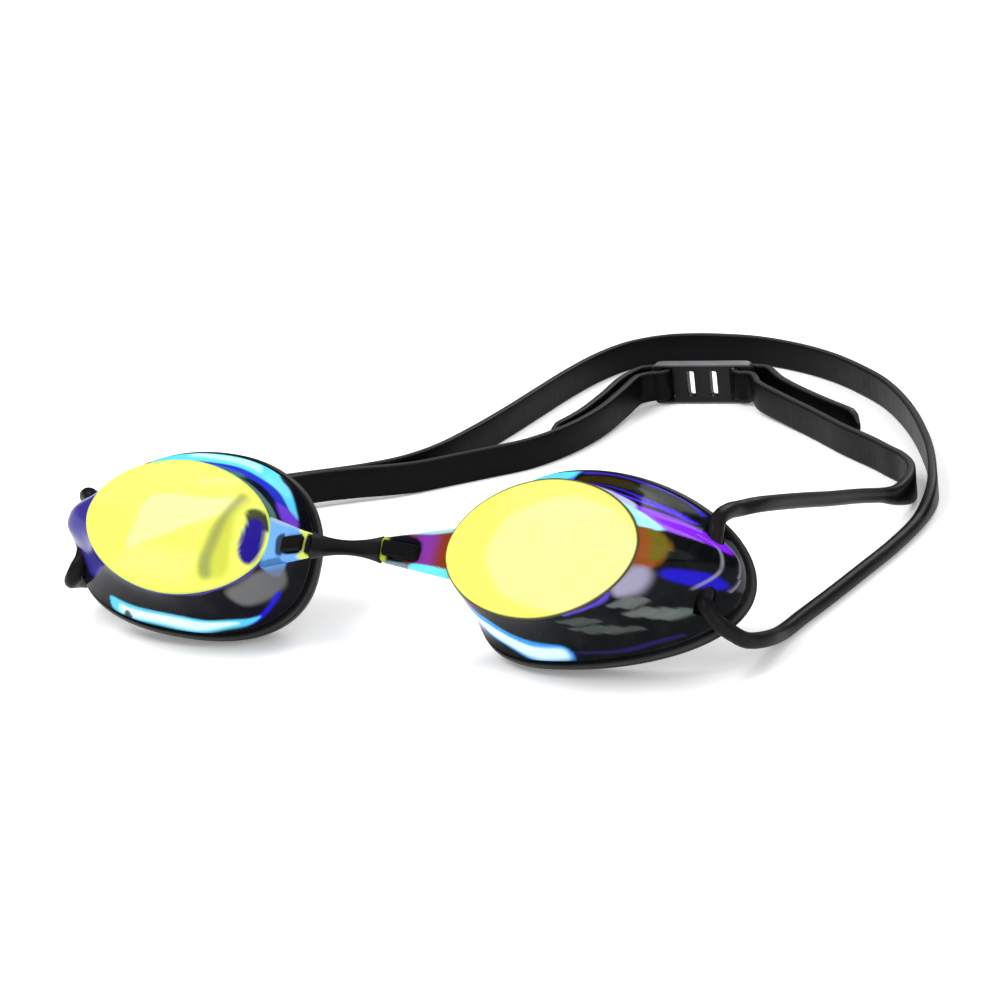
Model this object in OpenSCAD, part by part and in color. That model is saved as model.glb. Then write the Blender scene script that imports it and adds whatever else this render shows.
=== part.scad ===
// Racing swim goggles lying on a table, in millimetres.
// The face points to -Y and upward, and the origin is on the table below the
// nose bridge. Left and right are as seen from in front: right is +X.

/* [Face] */
// Distance between the centres of the two lens ovals
eye_spacing = 80; // [76:1:86]
// Height of the oval centres above the table
face_height = 26.1; // [26.1:0.1:27.1]
// Backward tilt of the face from upright
face_tilt = 37.5; // [30:0.5:42]
// Angle that each cup turns in toward the nose
toe_in = 5.5; // [0:0.5:8]

/* [Lens] */
// Width of the flat mirrored oval
oval_w = 41.6; // [38:0.2:44]
// Height of the flat mirrored oval
oval_h = 27.4; // [25:0.2:29]
// Wall thickness of the moulded cup
lens_wall = 1.7; // [1.4:0.1:2.2]
// Bore that the strap cord runs through at the temple
tunnel_d = 4.2; // [4:0.1:4.6]
// Diameter of the post at the tip of the nose loop
post_d = 2; // [1.6:0.1:2.4]

/* [Nose bridge] */
// Radial play of the hook on the post
hook_play = 0.06; // [0.03:0.01:0.1]
// Height of the bridge at its narrow middle
bridge_h = 2.8; // [2.6:0.1:5]
// Thickness of the bridge
bridge_t = 2.2; // [2:0.1:3]

/* [Strap] */
// Diameter of the round cord
cord_d = 3.1; // [2.8:0.1:3.4]
// Width of the flat bands, which stand on edge
band_w = 7.2; // [6:0.1:7.6]
// Thickness of the flat bands
band_t = 1.8; // [1.4:0.1:2]

/* [Clip] */
// Length of the ladder clip
clip_l = 25; // [24:0.5:28]
// Height of the ladder clip
clip_h = 10; // [9.6:0.1:11]
// Thickness of the ladder clip
clip_t = 3; // [2.6:0.1:3.2]
// Spacing of its four slots
slot_pitch = 5.6; // [5.2:0.1:5.8]
// Width of each slot
slot_w = 2.4; // [2.3:0.1:2.6]

/* [Hidden] */

outline_n = 56;                       // points round a lens or gasket outline
outline_a = [for (i = [0:outline_n - 1]) 360 * i / outline_n];
rim_bend = 0.0085;                    // the rear rim curves back toward both ends
rim_lean = 0.054;                     // and its brow side stands further forward
rim_shift = [-0.5, -0.8];             // the rim's centre from the oval's centre
nose_full = 0.4;                      // how much squarer the rim is toward the nose
ridge_half = 5;                       // half height of the ridge over the tunnel
ridge_rise = 2.2;                     // height of the ridge's tip above the middle
oval_turn = 4.3;                      // slope of the oval, temple side up
rim_turn = 1.6;                       // slope of the rim
tunnel_pos = [28, 14.6];              // tunnel axis, out from the oval's centre and back
tunnel_ends = [-4, 6.5];                // heights of the tunnel's two ends
post_pos = [-31.5, -4.5];             // nose post axis, in the cup's own frame
post_z = -2.5;                        // middle height of the nose loop
post_face = turned(post_pos, -toe_in) + [eye_spacing / 2, 0];  // the same in the face's frame
tab_root = [-19.2, 1.9, -6.1];        // foot of the nose tab on the cup
tab_root_h = 10.3;                    // height of that foot
bridge_flare = 1.2;                   // how much its ends flare above and below
loop_h = 5.6;                         // height of the nose loop at its tip
loop_gap = 3.8;                       // height of the hole in the loop
loop_reach = 6.6;                     // length of the hole past the post
hook_h = 3.3;                         // height of the hook in that hole
hook_r = post_d / 2 + 1.4;            // outer radius of the hook
hook_mouth = post_d - 0.3;            // opening that the post is pushed through
knob_reach = 4.8;                     // how far the knob reaches into the hole
knob_back = 1.4;                      // and how far back it stands
knob_r = 1.5;                         // radius of the knob's end
clip_pos = [3, 160, 5];               // centre of the clip
clip_turn = 6;                        // its turn in plan
fold_r = 1.9;                         // radius of the strap's fold in a slot
fold_gap = 1.5;                       // straight part between the fold's two bends
fold_in = [[14.9, -6.4], [13.6, -4], [11.9, -2.85]];  // the strap's way into the fold
fold_out = [[12, 2.65], [14.2, 2.2], [16.4, 0.6]];    // and out of it

// Outlines of the lens: depth, share of the rim's bend, then half sizes toward
// the nose, temple, brow and cheek, the roundness of the corners and how far
// the tunnel's ridge stands out
lens_front = [
    [-0.4, 0, oval_w * 0.3, oval_w * 0.3, oval_h * 0.3, oval_h * 0.3, 1.9, 0],
    [0, 0, oval_w / 2 - 0.6, oval_w / 2 - 0.6, oval_h / 2 - 0.6, oval_h / 2 - 0.6, 1.9, 0],
    [0.5, 0, oval_w / 2, oval_w / 2, oval_h / 2, oval_h / 2, 1.9, 0],
    [3, 0.2, 21, 22.2, 14.1, 14.1, 2, 3.2],
    [5.5, 0.45, 21.1, 24.4, 14.8, 14.7, 2.1, 5.8],
    [8, 0.7, 21.3, 28, 16.2, 15.6, 2.1, 4.4],
    [9.6, 0.9, 21.8, 31.6, 17.8, 16.6, 2, 1.8],
    [10.6, 1, 22.2, 33.2, 18.8, 17.6, 2, 0.3],
    [11.75, 1, 22.2, 33.2, 18.8, 17.6, 2, 0],
    [11.75, 1, 20, 24.4, 16, 15, 2, 0]
];
eye_hollow = [
    [lens_wall, 0, 19.2, 19.2, 12, 12, 1.9, 0],
    [5.5, 0.45, 19.4, 21.4, 13.2, 13, 2, 0],
    [9, 0.8, 19.7, 23.6, 14.6, 14, 2, 0],
    [12.5, 1, 20, 24, 16, 15, 2, 0],
    [20, 1, 20, 24, 16, 15, 2, 0]
];
// The gasket's section: out along the seat, back over the outside, round the
// sealing lip and forward along the inside
gasket_section = [
    [11.9, 1, 20, 24.4, 16, 15, 2, 0],
    [11.9, 1, 22.7, 33.6, 19.3, 18, 2, 0],
    [12.7, 1, 23, 34, 19.8, 18.4, 2, 0],
    [14, 1, 23, 34, 19.8, 18.4, 2, 0],
    [17.2, 1, 21.8, 32, 18.9, 17.4, 2, 0],
    [19.6, 1, 19.4, 29.4, 17.3, 16, 2, 0],
    [20.8, 1, 18, 27.8, 16.2, 14.8, 2, 0],
    [20.9, 1, 16.8, 26.4, 15, 13.8, 2, 0],
    [20.2, 1, 15.8, 25, 14, 12.8, 2, 0],
    [16.5, 1, 17.4, 24.2, 14.8, 13.6, 2, 0]
];

// Strap routes from a tunnel's end: first in the cup's own frame (out, back, up)
over_brow_right = [
    [28, 14.6, 6.5], [28, 14.6, 7], [28, 14.6, 7.5], [27.9, 14.6, 9.4], [27.9, 15.3, 11.4],
    [27.9, 18.2, 13.5], [28, 22, 15.2]
];
over_brow_left = [
    [28, 14.6, 6.5], [28, 14.6, 7], [28, 14.6, 7.5], [29.4, 14.6, 8.5], [31.5, 16.8, 8.9],
    [32.7, 20.8, 8.5], [32.9, 24.8, 7]
];
under_cheek_right = [
    [28, 14.6, -4], [28, 14.6, -4.5], [28, 14.6, -5], [29.2, 14.6, -6.8], [31.2, 16.2, -8.8],
    [32.6, 19, -9.7], [33.6, 23, -9.8]
];
under_cheek_left = [
    [28, 14.6, -4], [28, 14.6, -4.5], [28, 14.6, -5], [28.8, 14.6, -7.2], [30.4, 16.4, -9.2],
    [32.3, 20.2, -8.6], [33.2, 24.2, -7.4]
];
// then on the table: x, y, z and how flat the strap is, from cord 0 to band 1
right_upper_way = [
    [72, 30, 25.4], [72.8, 46, 20.3], [73.5, 60, 15.6], [74, 73, 11.4], [75, 83, 8]
];
right_inner_way = [
    [76, 90, 5.6, 0.3], [76, 98, 4.2, 0.85], [74, 105, 3.8], [70, 111, 3.65], [65, 115.5, 3.65],
    [60, 120, 3.65], [50, 128, 3.65], [40, 137, 3.65], [30, 145, 4], [21, 152, 4.6]
];
right_tail_way = [[24.5, 156.4, 4.6], [33, 149.8, 4], [42, 143.2, 3.7], [50.5, 137, 3.65]];
left_upper_way = [[-76.5, 30, 15.8], [-78, 40, 10.5], [-77.5, 50, 7]];
left_inner_way = [
    [-75, 60, 4.6, 0.3], [-71, 67, 4.4, 0.85], [-66, 72.5, 4.6], [-61, 76.5, 4.8],
    [-56, 80, 4.8], [-49, 84, 4.6], [-43, 87.5, 4.2], [-38, 91.5, 3.8], [-33, 96.5, 3.65],
    [-26, 103, 3.65], [-19, 110, 3.65], [-14, 120, 3.8], [-11.5, 132, 4], [-11, 144, 4.6]
];
left_tail_way = [[-15, 152, 4.7], [-14.7, 141, 4.4], [-15.3, 129, 4], [-17.8, 119, 3.7]];
left_lower_way = [[-76.2, 16.5, 5.8], [-78.3, 26, 4], [-81, 38, 2.4], [-82.5, 51, 1.6]];
outer_way = [
    [-82, 61, 2.2, 0.08], [-78.5, 69, 3, 0.6], [-72, 75.5, 3.65],
    [-64, 80.6, 3.65], [-57, 84.6, 3.65], [-50, 89, 3.65],
    [-43.5, 95, 3.65], [-39, 104, 3.65], [-36.5, 117, 3.65],
    [-35, 131, 3.65], [-34, 146, 3.65], [-33, 160, 3.65],
    [-31, 173, 3.65], [-27, 183, 3.65], [-20, 189, 3.65],
    [-12, 191, 3.65], [-4, 191, 3.65], [4, 190, 3.65],
    [13, 187, 3.65], [23, 182, 3.65], [33, 175, 3.65],
    [44, 165, 3.65], [51, 157, 3.65], [58, 147, 3.65],
    [64, 137, 3.65], [69.5, 126.5, 3.65], [74, 117, 3.65],
    [78, 107, 3.4, 0.9], [81, 97, 2.8, 0.5]
];
right_lower_way = [
    [82, 86, 1.8, 0.05], [81.5, 72, 1.6], [80, 58, 1.6], [78.5, 45, 1.6], [77, 33, 1.7],
    [76.5, 24, 2.2], [77, 15.5, 4.4]
];

// A signed power, for superellipse outlines
function spow(v, e) = sign(v) * pow(abs(v), e);
// A point turned by an angle in its plane
function turned(p, a) = [p.x * cos(a) - p.y * sin(a), p.x * sin(a) + p.y * cos(a)];
// Outline point at angle a for a row of lens_front, eye_hollow or gasket_section
function egg(a, row) =
    let (e = 2 / (row[6] + (cos(a) < 0 ? nose_full * row[1] : 0)))
    let (z = spow(sin(a), e) * (sin(a) > 0 ? row[4] : row[5]))
    let (off = (z - ridge_rise * row[1]) / ridge_half)
    [spow(cos(a), e) * (cos(a) > 0 ? row[3] + row[7] * exp(-pow(abs(off), 3)) : row[2]), z];
function outline(row) = [
    for (a = outline_a)
        let (p = turned(egg(a, row), oval_turn + (rim_turn - oval_turn) * row[1]))
        let (q = p + rim_shift * row[1])
        [q.x, row[0] + row[1] * (rim_bend * q.x * q.x - rim_lean * q.y), q.y]
];
// The cup's own frame (out, back, up) carried to the part's frame; side is 1 or -1
function cup_point(p, side) =
    let (c = turned([p.x, p.y], -toe_in))
    let (x = eye_spacing / 2 + c.x)
    [
        side * x,
        c.y * cos(face_tilt) + p.z * sin(face_tilt),
        face_height - c.y * sin(face_tilt) + p.z * cos(face_tilt)
    ];
// A point beside the clip carried to the part's frame
function clip_point(p) = let (q = turned(p, clip_turn)) [clip_pos.x + q.x, clip_pos.y + q.y, clip_pos.z];
// Route points with their flatness filled in
function flatness(list, f) = [for (p = list) [p.x, p.y, p.z, len(p) > 3 ? p[3] : f]];
function cup_way(list, side) = flatness([for (p = list) cup_point(p, side)], 0);
function reversed(list) = [for (i = [len(list) - 1:-1:0]) list[i]];
// A smooth curve through four points
function curve(a, b, c, d, t) =
    (2 * b + (c - a) * t + (2 * a - 5 * b + 4 * c - d) * t * t + (3 * b - a - 3 * c + d) * t * t * t) / 2;
function smooth(list, steps) = [
    for (i = [0:len(list) - 2])
        for (k = [0:steps - 1])
            curve(list[max(i - 1, 0)], list[i], list[i + 1], list[min(i + 2, len(list) - 1)], k / steps),
    list[len(list) - 1]
];
// The strap's fold round an end bar of the clip, from the front to the back
function fold_point(a, side, y) =
    clip_point([side * (slot_pitch * 1.5 + fold_r * (1 + cos(a))), y + fold_r * sin(a)]);
function fold(side) = flatness(
    concat(
        [for (p = fold_in) clip_point([side * p.x, p.y])],
        [for (a = [-90:-22.5:-180]) fold_point(a, side, -fold_gap / 2)],
        [for (a = [180:-22.5:90]) fold_point(a, side, fold_gap / 2)],
        [for (p = fold_out) clip_point([side * p.x, p.y])]
    ), 1);
// Section of the strap across its route, from cord 0 to band 1: side and height offset
function section(f) =
    let (h = cord_d + f * (band_w - cord_d))
    let (t = cord_d + f * (band_t - cord_d))
    let (c = 0.293 * t)
    [
        [t / 2, c - h / 2], [t / 2, h / 2 - c], [t / 2 - c, h / 2], [c - t / 2, h / 2],
        [-t / 2, h / 2 - c], [-t / 2, c - h / 2], [c - t / 2, -h / 2], [t / 2 - c, -h / 2]
    ];
function place(p) = [p[0], p[1], p[2]];
function unit(v) = v / norm(v);
function strap_ring(list, i) =
    let (run = unit(place(list[min(i + 1, len(list) - 1)]) - place(list[max(i - 1, 0)])))
    let (across = unit(cross(run, [0, 0, 1])))
    let (rise = cross(across, run))
    [for (s = section(list[i][3])) place(list[i]) + across * s.x + rise * s.y];

// Whole strap routes, and the rings where one piece of the strap meets the next
outer_route = smooth(
    concat(
        cup_way(under_cheek_left, -1), flatness(left_lower_way, 0), flatness(outer_way, 1),
        flatness(right_lower_way, 0), reversed(cup_way(under_cheek_right, 1))
    ), 2);
left_lower_end = 2 * (len(under_cheek_left) + len(left_lower_way));
right_lower_start = left_lower_end + 2 * len(outer_way);
right_route = smooth(
    concat(
        cup_way(over_brow_right, 1), flatness(right_upper_way, 0), flatness(right_inner_way, 1),
        fold(1), flatness(right_tail_way, 1)
    ), 2);
right_upper_end = 2 * (len(over_brow_right) + len(right_upper_way) - 1);
right_inner_end = right_upper_end + 2 * len(right_inner_way);
left_route = smooth(
    concat(
        cup_way(over_brow_left, -1), flatness(left_upper_way, 0), flatness(left_inner_way, 1),
        fold(-1), flatness(left_tail_way, 1)
    ), 2);
left_upper_end = 2 * (len(over_brow_left) + len(left_upper_way) - 1);
left_inner_end = left_upper_end + 2 * len(left_inner_way);

// Faces between ring i and the next ring
function band_faces(i, next, n) = [
    for (j = [0:n - 1])
        let (k = (j + 1) % n)
        each [[i * n + j, i * n + k, next * n + k], [i * n + j, next * n + k, next * n + j]]
];

module loft(rows, front, back) {
    rings = [for (row = rows) outline(row)];
    n = outline_n;
    count = len(rings);
    polyhedron(
        points = concat([for (r = rings) each r], [front, back]),
        faces = concat(
            [for (i = [0:count - 2]) each band_faces(i, i + 1, n)],
            [for (j = [0:n - 1]) [count * n, (j + 1) % n, j]],
            [for (j = [0:n - 1]) [count * n + 1, (count - 1) * n + j, (count - 1) * n + (j + 1) % n]]
        )
    );
}

module strap_piece(route, first, last) {
    count = last - first + 1;
    polyhedron(
        points = [for (i = [first:last]) each strap_ring(route, i)],
        faces = concat(
            [for (i = [0:count - 2]) each band_faces(i, i + 1, 8)],
            [[for (j = [7:-1:0]) j], [for (j = [0:7]) (count - 1) * 8 + j]]
        )
    );
}

// Carries a shape from a cup's own frame to the part's frame
module in_cup(side) {
    mirror([side < 0 ? 1 : 0, 0, 0])
        translate([0, 0, face_height])
            rotate([-face_tilt, 0, 0])
                translate([eye_spacing / 2, 0, 0])
                    rotate([0, 0, -toe_in])
                        children();
}

// Flat tab that reaches from the oval to the nose post, with the loop's hole
module nose_loop() {
    difference() {
        hull() {
            translate(tab_root) cylinder(d = 2.2, h = tab_root_h, $fn = 32);
            translate([post_pos.x, post_pos.y, post_z - loop_h / 2]) cylinder(d = post_d, h = loop_h, $fn = 32);
        }
        translate([post_pos.x - 3, post_pos.y - 3, post_z - loop_gap / 2])
            cube([3 + loop_reach, 8, loop_gap]);
    }
    translate([post_pos.x, post_pos.y, post_z - loop_h / 2 + 0.2])
        cylinder(d = post_d, h = loop_h - 0.4, $fn = 48);
}

module lens(side) {
    color("gold", 0.9)
    in_cup(side)
    difference() {
        union() {
            loft(lens_front, [0, -0.5, 0], [0, 11.75, 0]);
            nose_loop();
        }
        loft(eye_hollow, [0, lens_wall, 0], [0, 20, 0]);
        translate([tunnel_pos.x, tunnel_pos.y, -14]) cylinder(d = tunnel_d, h = 28, $fn = 48);
    }
}

module gasket(side) {
    n = outline_n;
    count = len(gasket_section);
    color("dimgray")
    in_cup(side)
    polyhedron(
        points = [for (row = gasket_section) each outline(row)],
        faces = [for (i = [0:count - 1]) each band_faces(i, (i + 1) % count, n)]
    );
}

// End of the bridge: it wraps the post from behind and fills the loop with a knob
module hook(side) {
    translate([side * post_face.x, post_face.y, post_z])
    mirror([side < 0 ? 1 : 0, 0, 0])
    difference() {
        union() {
            hull() {
                translate([0, 0, -hook_h / 2]) cylinder(r = hook_r, h = hook_h, $fn = 48);
                translate([knob_reach, knob_back, -hook_h / 2]) cylinder(r = knob_r, h = hook_h, $fn = 32);
            }
            translate([-hook_r, 0, -hook_h / 2]) cube([hook_r, hook_r + 0.6, hook_h]);
        }
        translate([0, 0, -hook_h]) cylinder(d = post_d + 2 * hook_play, h = 2 * hook_h, $fn = 48);
        translate([-hook_mouth / 2, -hook_r - 1, -hook_h]) cube([hook_mouth, hook_r + 1, 2 * hook_h]);
    }
}

module nose_bridge() {
    end_x = post_face.x - post_d / 2 - 0.5;
    color("dimgray")
    translate([0, 0, face_height])
    rotate([-face_tilt, 0, 0])
    union() {
        hook(1);
        hook(-1);
        translate([0, post_face.y + bridge_t - 0.6, post_z])
            rotate([90, 0, 0])
                linear_extrude(bridge_t)
                    polygon(concat(
                        [for (i = [-8:8]) [end_x * i / 8, bridge_h / 2 + bridge_flare * pow(i / 8, 2)]],
                        [for (i = [8:-1:-8]) [end_x * i / 8, -bridge_h / 2 - bridge_flare * pow(i / 8, 2)]]
                    ));
    }
}

module tunnel_cord(side) {
    color("dimgray")
    in_cup(side)
    translate([tunnel_pos.x, tunnel_pos.y, tunnel_ends[0]])
        cylinder(d = cord_d, h = tunnel_ends[1] - tunnel_ends[0], $fn = 48);
}

module strap_part(route, first, last) {
    color("dimgray") strap_piece(route, first, last);
}

// Ladder with two end bars, three bars between the slots and a rail along each edge
module clip() {
    bar_x = [for (i = [-1:1]) i * slot_pitch];
    end_w = (clip_l - 3 * slot_pitch - slot_w) / 2;
    rail_h = (clip_h - band_w - 0.6) / 2;
    color("dimgray")
    translate(clip_pos)
    rotate([0, 0, clip_turn])
    union() {
        for (x = bar_x)
            translate([x - (slot_pitch - slot_w) / 2, -clip_t / 2, -clip_h / 2])
                cube([slot_pitch - slot_w, clip_t, clip_h]);
        for (s = [-1, 1])
            translate([s * (clip_l - end_w) / 2, 0, -clip_h / 2])
                linear_extrude(clip_h)
                    polygon([
                        [-end_w / 2, -clip_t / 2 + 0.4], [0.4 - end_w / 2, -clip_t / 2],
                        [end_w / 2 - 0.8, -clip_t / 2], [end_w / 2, 0.8 - clip_t / 2],
                        [end_w / 2, clip_t / 2 - 0.8], [end_w / 2 - 0.8, clip_t / 2],
                        [0.4 - end_w / 2, clip_t / 2], [-end_w / 2, clip_t / 2 - 0.4]
                    ]);
        for (z = [-clip_h / 2, clip_h / 2 - rail_h])
            translate([0.8 - clip_l / 2, -clip_t / 2, z])
                cube([clip_l - 1.6, clip_t, rail_h]);
    }
}

lens(-1);  // left_lens
lens(1);  // right_lens
gasket(-1);  // left_gasket
gasket(1);  // right_gasket
nose_bridge();
tunnel_cord(-1);  // left_tunnel_cord
tunnel_cord(1);  // right_tunnel_cord
strap_part(left_route, 0, left_upper_end);  // left_upper_cord
strap_part(right_route, 0, right_upper_end);  // right_upper_cord
strap_part(outer_route, 0, left_lower_end);  // left_lower_cord
strap_part(outer_route, right_lower_start, len(outer_route) - 1);  // right_lower_cord
strap_part(outer_route, left_lower_end, right_lower_start);  // outer_band
strap_part(left_route, left_upper_end, left_inner_end);  // left_inner_band
strap_part(right_route, right_upper_end, right_inner_end);  // right_inner_band
strap_part(left_route, left_inner_end, len(left_route) - 1);  // left_strap_end
strap_part(right_route, right_inner_end, len(right_route) - 1);  // right_strap_end
clip();
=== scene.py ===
"""Swim goggles with mirrored lenses and a split silicone strap, lying on a pale floor."""
import math
import bmesh
import bpy
import numpy as np
from mathutils import Matrix, Vector
from mathutils.geometry import convex_hull_2d


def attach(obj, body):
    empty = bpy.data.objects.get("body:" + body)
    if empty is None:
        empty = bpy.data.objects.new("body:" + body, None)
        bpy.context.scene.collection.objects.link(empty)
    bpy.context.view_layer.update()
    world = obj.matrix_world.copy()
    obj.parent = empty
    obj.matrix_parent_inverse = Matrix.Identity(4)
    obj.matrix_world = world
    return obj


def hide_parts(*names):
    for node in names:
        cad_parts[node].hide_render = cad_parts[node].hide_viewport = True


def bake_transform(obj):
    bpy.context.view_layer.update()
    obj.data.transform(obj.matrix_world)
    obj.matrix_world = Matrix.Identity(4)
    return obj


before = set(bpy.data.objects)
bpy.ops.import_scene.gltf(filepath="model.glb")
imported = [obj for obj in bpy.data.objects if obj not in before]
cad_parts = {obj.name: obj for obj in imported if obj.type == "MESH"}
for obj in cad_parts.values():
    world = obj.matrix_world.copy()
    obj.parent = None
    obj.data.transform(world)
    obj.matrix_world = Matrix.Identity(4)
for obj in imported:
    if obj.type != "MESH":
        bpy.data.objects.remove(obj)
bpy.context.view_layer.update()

MM = 0.001
SIDES = {"left": -1, "right": 1}


# ---------------------------------------------------------------- camera and light

# The camera as it was fitted to the photograph, in degrees and metres.
VIEW_TURN, VIEW_LIFT, VIEW_ROLL = 29.12, 19, 7.21
VIEW_CENTRE, VIEW_DISTANCE, VIEW_SHIFT = (0, 0, 0.026), 0.555, (0.0282, 0.00707)
FOCAL_MM, SENSOR_MM = 104.8, 36


def add_camera():
    """The scene's camera, above and to the right of the goggles' front."""
    turn, lift, roll = (math.radians(v) for v in (VIEW_TURN, VIEW_LIFT, VIEW_ROLL))
    back = Vector((math.sin(turn) * math.cos(lift), -math.cos(turn) * math.cos(lift), math.sin(lift)))
    level = Vector((math.cos(turn), math.sin(turn), 0))
    up = back.cross(level)
    x = math.cos(roll) * level - math.sin(roll) * up
    y = math.sin(roll) * level + math.cos(roll) * up
    data = bpy.data.cameras.new("camera")
    data.lens, data.sensor_width = FOCAL_MM, SENSOR_MM
    cam = bpy.data.objects.new("camera", data)
    place = back * VIEW_DISTANCE + x * VIEW_SHIFT[0] + y * VIEW_SHIFT[1] + Vector(VIEW_CENTRE)
    cam.matrix_world = Matrix.Translation(place) @ Matrix((x, y, back)).transposed().to_4x4()
    bpy.context.collection.objects.link(cam)
    bpy.context.scene.camera = cam


def add_light(name, place, target, size, power):
    """A round soft lamp at place that shines at target, in metres and watts."""
    data = bpy.data.lights.new(name, "AREA")
    data.shape, data.size, data.energy = "DISK", size, power
    lamp = bpy.data.objects.new(name, data)
    lamp.location = place
    lamp.rotation_euler = (Vector(place) - Vector(target)).to_track_quat("Z", "Y").to_euler()
    bpy.context.collection.objects.link(lamp)


# ---------------------------------------------------------------- node helpers

class Nodes:
    """A material and short ways to add and join its nodes."""

    def __init__(self, name, **shader):
        self.mat = bpy.data.materials.new(name)
        self.mat.use_nodes = True
        self.tree = self.mat.node_tree
        self.shader = self.tree.nodes["Principled BSDF"]
        for key, value in shader.items():
            self.shader.inputs[key.replace("_", " ")].default_value = value

    def add(self, kind, inputs=None, **props):
        """A new node; each of its inputs takes a socket or a plain value."""
        node = self.tree.nodes.new(kind)
        for key, value in props.items():
            setattr(node, key, value)
        for key, value in (inputs or {}).items():
            if isinstance(value, bpy.types.NodeSocket):
                self.tree.links.new(value, node.inputs[key])
            else:
                node.inputs[key].default_value = value
        return node

    def set(self, key, socket):
        """Joins a socket to an input of the shader."""
        self.tree.links.new(socket, self.shader.inputs[key])

    def noise(self, scale, detail=3, rough=0.55, stretch=(1, 1, 1)):
        """Noise in the object's own coordinates, in metres."""
        where = self.add("ShaderNodeMapping", {
            "Vector": self.add("ShaderNodeTexCoord").outputs["Object"], "Scale": stretch})
        return self.add("ShaderNodeTexNoise", {
            "Vector": where.outputs[0], "Scale": scale, "Detail": detail, "Roughness": rough}).outputs[0]

    def ramp(self, fac, stops):
        """A colour ramp through (place, display colour) stops."""
        node = self.add("ShaderNodeValToRGB", {"Fac": fac})
        ramp = node.color_ramp
        while len(ramp.elements) < len(stops):
            ramp.elements.new(0.5)
        for element, (place, colour) in zip(ramp.elements, stops):
            element.position = place
            element.color = linear(colour)
        return node.outputs[0]

    def range(self, value, low, high, to_low, to_high):
        """The value carried from low..high to to_low..to_high."""
        return self.add("ShaderNodeMapRange", {
            0: value, 1: low, 2: high, 3: to_low, 4: to_high}).outputs[0]

    def mix(self, fac, a, b, blend="MIX"):
        """Two colours mixed."""
        node = self.add("ShaderNodeMix", data_type="RGBA", blend_type=blend)
        for index, value in ((0, fac), (6, a), (7, b)):
            if isinstance(value, bpy.types.NodeSocket):
                self.tree.links.new(value, node.inputs[index])
            else:
                node.inputs[index].default_value = value
        return node.outputs[2]

    def math(self, operation, a, b=0.0):
        """A sum or product of two values."""
        return self.add("ShaderNodeMath", {0: a, 1: b}, operation=operation).outputs[0]

    def attribute(self, name, output="Fac"):
        """What the mesh stores under this name."""
        return self.add("ShaderNodeAttribute", attribute_name=name).outputs[output]

    def bump(self, height, strength, distance):
        """Fine relief on the shader's normal."""
        node = self.add("ShaderNodeBump", {
            "Height": height, "Strength": strength, "Distance": distance})
        self.set("Normal", node.outputs[0])


def linear(colour):
    """A display colour as the linear values that a shader takes."""
    rgb = [c / 12.92 if c <= 0.04045 else ((c + 0.055) / 1.055) ** 2.4 for c in colour[:3]]
    return (*rgb, 1.0)


# ---------------------------------------------------------------- materials

def mirror_material(name):
    """Moulded lens under a thin mirror coat, whose colour and painted reflections are stored on the mesh as
    coat.
    """
    m = Nodes(name, IOR=1.5, Specular_IOR_Level=0.02, Coat_Weight=0.05, Coat_Roughness=0.04)
    coat = m.attribute("coat", "Color")
    drift = m.noise(120, 2, 0.5)
    tint = m.ramp(drift, [(0.3, (0.86, 0.95, 1)), (0.5, (1, 1, 1)), (0.7, (1, 0.94, 0.86))])
    toned = m.mix(0.35, coat, tint, "MULTIPLY")
    streak = m.noise(260, 4, 0.6, (1, 0.2, 0.7))
    m.set("Base Color", m.mix(m.range(streak, 0.45, 0.75, 0, 0.008), toned, linear((0.9, 0.93, 0.95))))
    m.set("Roughness", m.range(m.noise(900, 3), 0.3, 0.7, 0.1, 0.2))
    m.bump(m.noise(1500, 2), 0.03, 0.0002)
    return m.mat


def silicone_material(name, dark, light, rough):
    """Black silicone with a fine moulded grain, cloudy shade and a paler tone along the edges that the mesh
    marks.
    """
    m = Nodes(name, IOR=1.41, Specular_IOR_Level=0.09)
    cloud = m.noise(55, 4, 0.6)
    fine = m.noise(1400, 3, 0.6)
    body = m.ramp(cloud, [(0.3, dark), (0.72, light)])
    speck = m.mix(m.range(fine, 0.58, 0.78, 0, 0.05), body, linear((0.42, 0.42, 0.42)))
    edge = m.math("MULTIPLY", m.attribute("edge"), m.range(cloud, 0.3, 0.7, 0.5, 1))
    m.set("Base Color", m.mix(m.math("MULTIPLY", edge, 0.5), speck, linear((0.5, 0.5, 0.5))))
    m.set("Roughness", m.range(cloud, 0.3, 0.7, rough - 0.05, rough + 0.09))
    m.bump(fine, 0.12, 0.0003)
    return m.mat


def strap_material(name, dark, light):
    """Strap silicone: lengthwise flow lines from the mould over the fine grain, and a painted highlight along
    the band's upper edge.
    """
    m = Nodes(name, IOR=1.41, Specular_IOR_Level=0.11)
    cloud = m.noise(70, 4, 0.6)
    line = m.add("ShaderNodeCombineXYZ", {
        "X": m.math("MULTIPLY", m.attribute("along"), 0.06), "Y": m.attribute("around")})
    flow = m.add("ShaderNodeTexNoise", {
        "Vector": line.outputs[0], "Scale": 26, "Detail": 3}).outputs[0]
    fine = m.noise(1600, 3, 0.6)
    body = m.ramp(m.math("ADD", m.math("MULTIPLY", cloud, 0.5), m.math("MULTIPLY", flow, 0.5)),
                  [(0.35, dark), (0.68, light)])
    # Painted highlight: the band's upper edge is painted paler, where light from above catches it.
    edge = m.math("MULTIPLY", m.attribute("edge"), m.range(flow, 0.3, 0.7, 0.2, 0.5))
    top_lit = m.mix(edge, body, linear((0.4, 0.4, 0.41)))
    m.set("Base Color", m.mix(m.range(fine, 0.6, 0.8, 0, 0.05), top_lit, linear((0.4, 0.4, 0.4))))
    m.set("Roughness", m.range(flow, 0.3, 0.7, 0.34, 0.48))
    m.bump(m.math("ADD", m.math("MULTIPLY", fine, 0.5), flow), 0.1, 0.0003)
    return m.mat


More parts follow.
